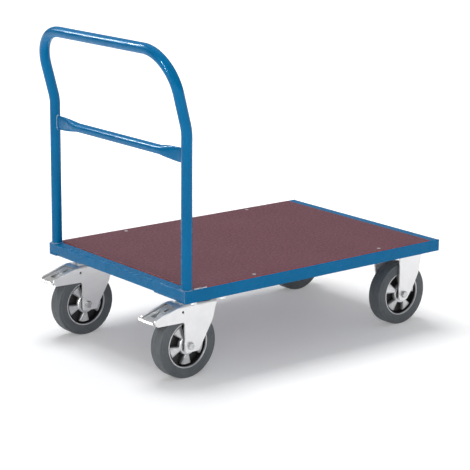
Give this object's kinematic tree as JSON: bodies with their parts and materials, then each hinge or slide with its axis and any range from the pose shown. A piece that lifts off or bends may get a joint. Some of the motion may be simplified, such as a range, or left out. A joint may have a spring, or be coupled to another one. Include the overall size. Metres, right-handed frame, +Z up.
{
  "type": "push-bar platform cart",
  "caption": "Platform cart with a flush plywood deck in a steel frame, a welded push handle, braked swivel casters at the handle and fixed casters at the far end.",
  "frame": {"origin": "on the floor under the middle of the cart's overall length and width", "axes": "+X from the push handle to the far end, +Y to the pusher's left, +Z up"},
  "size_m": [1.092, 0.7, 0.9683],
  "materials": {
    "blue_paint": "powder-coated blue, semi-gloss",
    "plywood": "film-faced plywood, maroon-brown, fine anti-slip texture",
    "tyre_rubber": "grey cushioned rubber, matt",
    "rim_aluminium": "die-cast, bright spokes and dark pockets",
    "black_rubber": "matt",
    "bright_steel": "ground",
    "zinc_plate": "bright zinc plated pressed steel"
  },
  "bodies": {
    "frame": {"caster_bolts": "zinc_plate", "caster_pads": "blue_paint", "caster_washers": "zinc_plate", "cross_member_front": "blue_paint", "cross_member_middle": "blue_paint", "cross_member_rear": "blue_paint", "deck_board": "plywood", "deck_screws": "zinc_plate", "end_beam_front": "blue_paint", "end_beam_rear": "blue_paint", "fixed_axle_bolts": "zinc_plate", "fixed_axle_nuts": "zinc_plate", "fixed_axle_sleeves": "bright_steel", "fixed_bracket_left": "zinc_plate", "fixed_bracket_right": "zinc_plate", "fixed_inner_rings": "bright_steel", "handle_crossbar": "blue_paint", "kingpin_nuts": "zinc_plate", "kingpins": "zinc_plate", "lock_discs": "bright_steel", "push_handle": "blue_paint", "side_rail_left": "blue_paint", "side_rail_right": "blue_paint", "swivel_balls": "bright_steel", "swivel_plate_left": "zinc_plate", "swivel_plate_right": "zinc_plate", "weld_beads": "blue_paint"},
    "swivel_right": {"fork_right": "zinc_plate", "dust_seal_right": "black_rubber", "axle_bolt_right": "zinc_plate", "axle_nut_right": "zinc_plate", "axle_sleeve_right": "bright_steel", "inner_rings_right": "bright_steel", "pedal_pin_right": "zinc_plate", "pedal_spring_right": "bright_steel"},
    "brake_right": {"brake_pedal_right": "zinc_plate", "brake_shoe_right": "black_rubber"},
    "wheel_swivel_right": {"tyre_swivel_right": "tyre_rubber", "rim_swivel_right": "rim_aluminium", "bearings_swivel_right": "bright_steel"},
    "wheel_fixed_right": {"tyre_fixed_right": "tyre_rubber", "rim_fixed_right": "rim_aluminium", "bearings_fixed_right": "bright_steel"},
    "swivel_left": {"fork_left": "zinc_plate", "dust_seal_left": "black_rubber", "axle_bolt_left": "zinc_plate", "axle_nut_left": "zinc_plate", "axle_sleeve_left": "bright_steel", "inner_rings_left": "bright_steel", "pedal_pin_left": "zinc_plate", "pedal_spring_left": "bright_steel"},
    "brake_left": {"brake_pedal_left": "zinc_plate", "brake_shoe_left": "black_rubber"},
    "wheel_swivel_left": {"tyre_swivel_left": "tyre_rubber", "rim_swivel_left": "rim_aluminium", "bearings_swivel_left": "bright_steel"},
    "wheel_fixed_left": {"tyre_fixed_left": "tyre_rubber", "rim_fixed_left": "rim_aluminium", "bearings_fixed_left": "bright_steel"}
  },
  "joints": [
    {"name": "swivel_turn_right", "type": "hinge", "parent": "frame", "child": "swivel_right", "pos_m": [-0.358, -0.2615, 0.224], "axis": [0, 0, 1], "continuous": true},
    {"name": "wheel_spin_swivel_right", "type": "hinge", "parent": "swivel_right", "child": "wheel_swivel_right", "pos_m": [-0.414, -0.2615, 0.1], "axis": [0, 1, 0], "continuous": true},
    {"name": "brake_press_right", "type": "hinge", "parent": "swivel_right", "child": "brake_right", "pos_m": [-0.44, -0.2615, 0.204], "axis": [0, -1, 0], "range_deg": [0, 7]},
    {"name": "wheel_spin_fixed_right", "type": "hinge", "parent": "frame", "child": "wheel_fixed_right", "pos_m": [0.446, -0.248, 0.1], "axis": [0, 1, 0], "continuous": true},
    {"name": "swivel_turn_left", "type": "hinge", "parent": "frame", "child": "swivel_left", "pos_m": [-0.358, 0.2615, 0.224], "axis": [0, 0, 1], "continuous": true},
    {"name": "wheel_spin_swivel_left", "type": "hinge", "parent": "swivel_left", "child": "wheel_swivel_left", "pos_m": [-0.414, 0.2615, 0.1], "axis": [0, 1, 0], "continuous": true},
    {"name": "brake_press_left", "type": "hinge", "parent": "swivel_left", "child": "brake_left", "pos_m": [-0.44, 0.2615, 0.204], "axis": [0, -1, 0], "range_deg": [0, 7]},
    {"name": "wheel_spin_fixed_left", "type": "hinge", "parent": "frame", "child": "wheel_fixed_left", "pos_m": [0.446, 0.248, 0.1], "axis": [0, 1, 0], "continuous": true}
  ]
}
